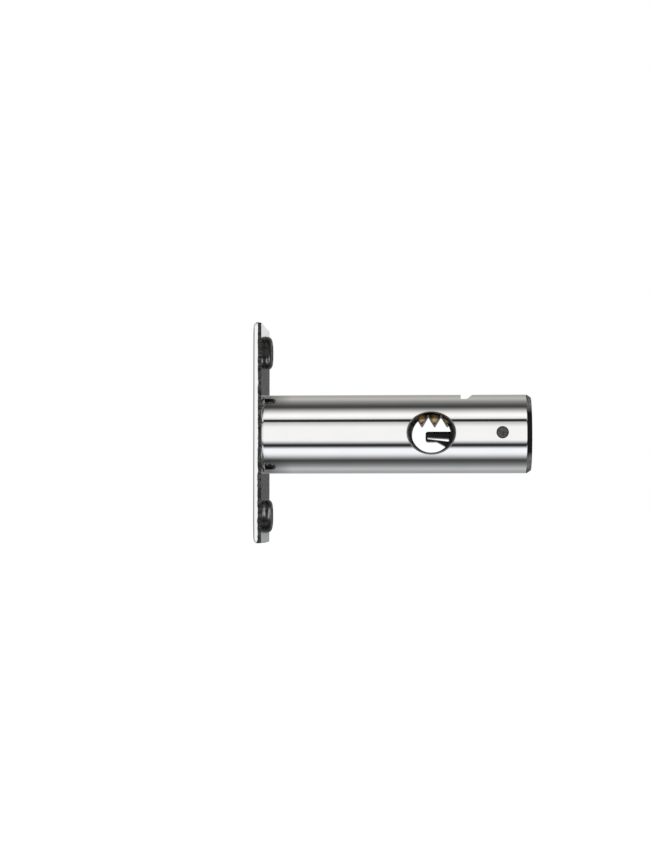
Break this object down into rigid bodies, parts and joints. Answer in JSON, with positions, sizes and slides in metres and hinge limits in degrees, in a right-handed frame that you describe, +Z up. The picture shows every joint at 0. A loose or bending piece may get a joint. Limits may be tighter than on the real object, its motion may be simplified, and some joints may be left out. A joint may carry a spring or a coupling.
{
  "type": "rack bolt",
  "caption": "Round mortice rack bolt: faceplate with two countersunk holes, barrel with a keyhole, sliding brass bolt with rack teeth and a sprung finger at the keyhole.",
  "frame": {"origin": "centre of the faceplate's front face, on the bolt's axis", "axes": "+X along the barrel towards its rear end, so the bolt is thrown along -X; +Z up along the faceplate's height; Y across the faceplate, along the keyhole"},
  "size_m": [0.061, 0.022, 0.0486],
  "materials": {
    "plated_steel": "bright nickel plate, polished",
    "turned_brass": "machined",
    "black_nylon": "moulded, half gloss",
    "dark_steel": "oil blackened, rough sheared ends",
    "spring_steel": "drawn wire"
  },
  "bodies": {
    "case": {"faceplate": "plated_steel", "barrel": "plated_steel", "end_cap": "black_nylon", "cross_pin": "dark_steel", "finger_spring": "spring_steel"},
    "bolt": {"bolt": "turned_brass"},
    "finger": {"detent_finger": "black_nylon"}
  },
  "joints": [
    {"name": "bolt_throw", "type": "slide", "parent": "case", "child": "bolt", "axis": [-1, 0, 0], "range_m": [0, 0.0125]},
    {"name": "finger_hinge", "type": "hinge", "parent": "case", "child": "finger", "pos_m": [0.0545, 0, 0], "axis": [0, -1, 0], "range_deg": [0, 15.4], "stiffness_Nm_per_rad": 0.02, "springref_deg": -9.74, "deforming": ["finger_spring"]}
  ]
}
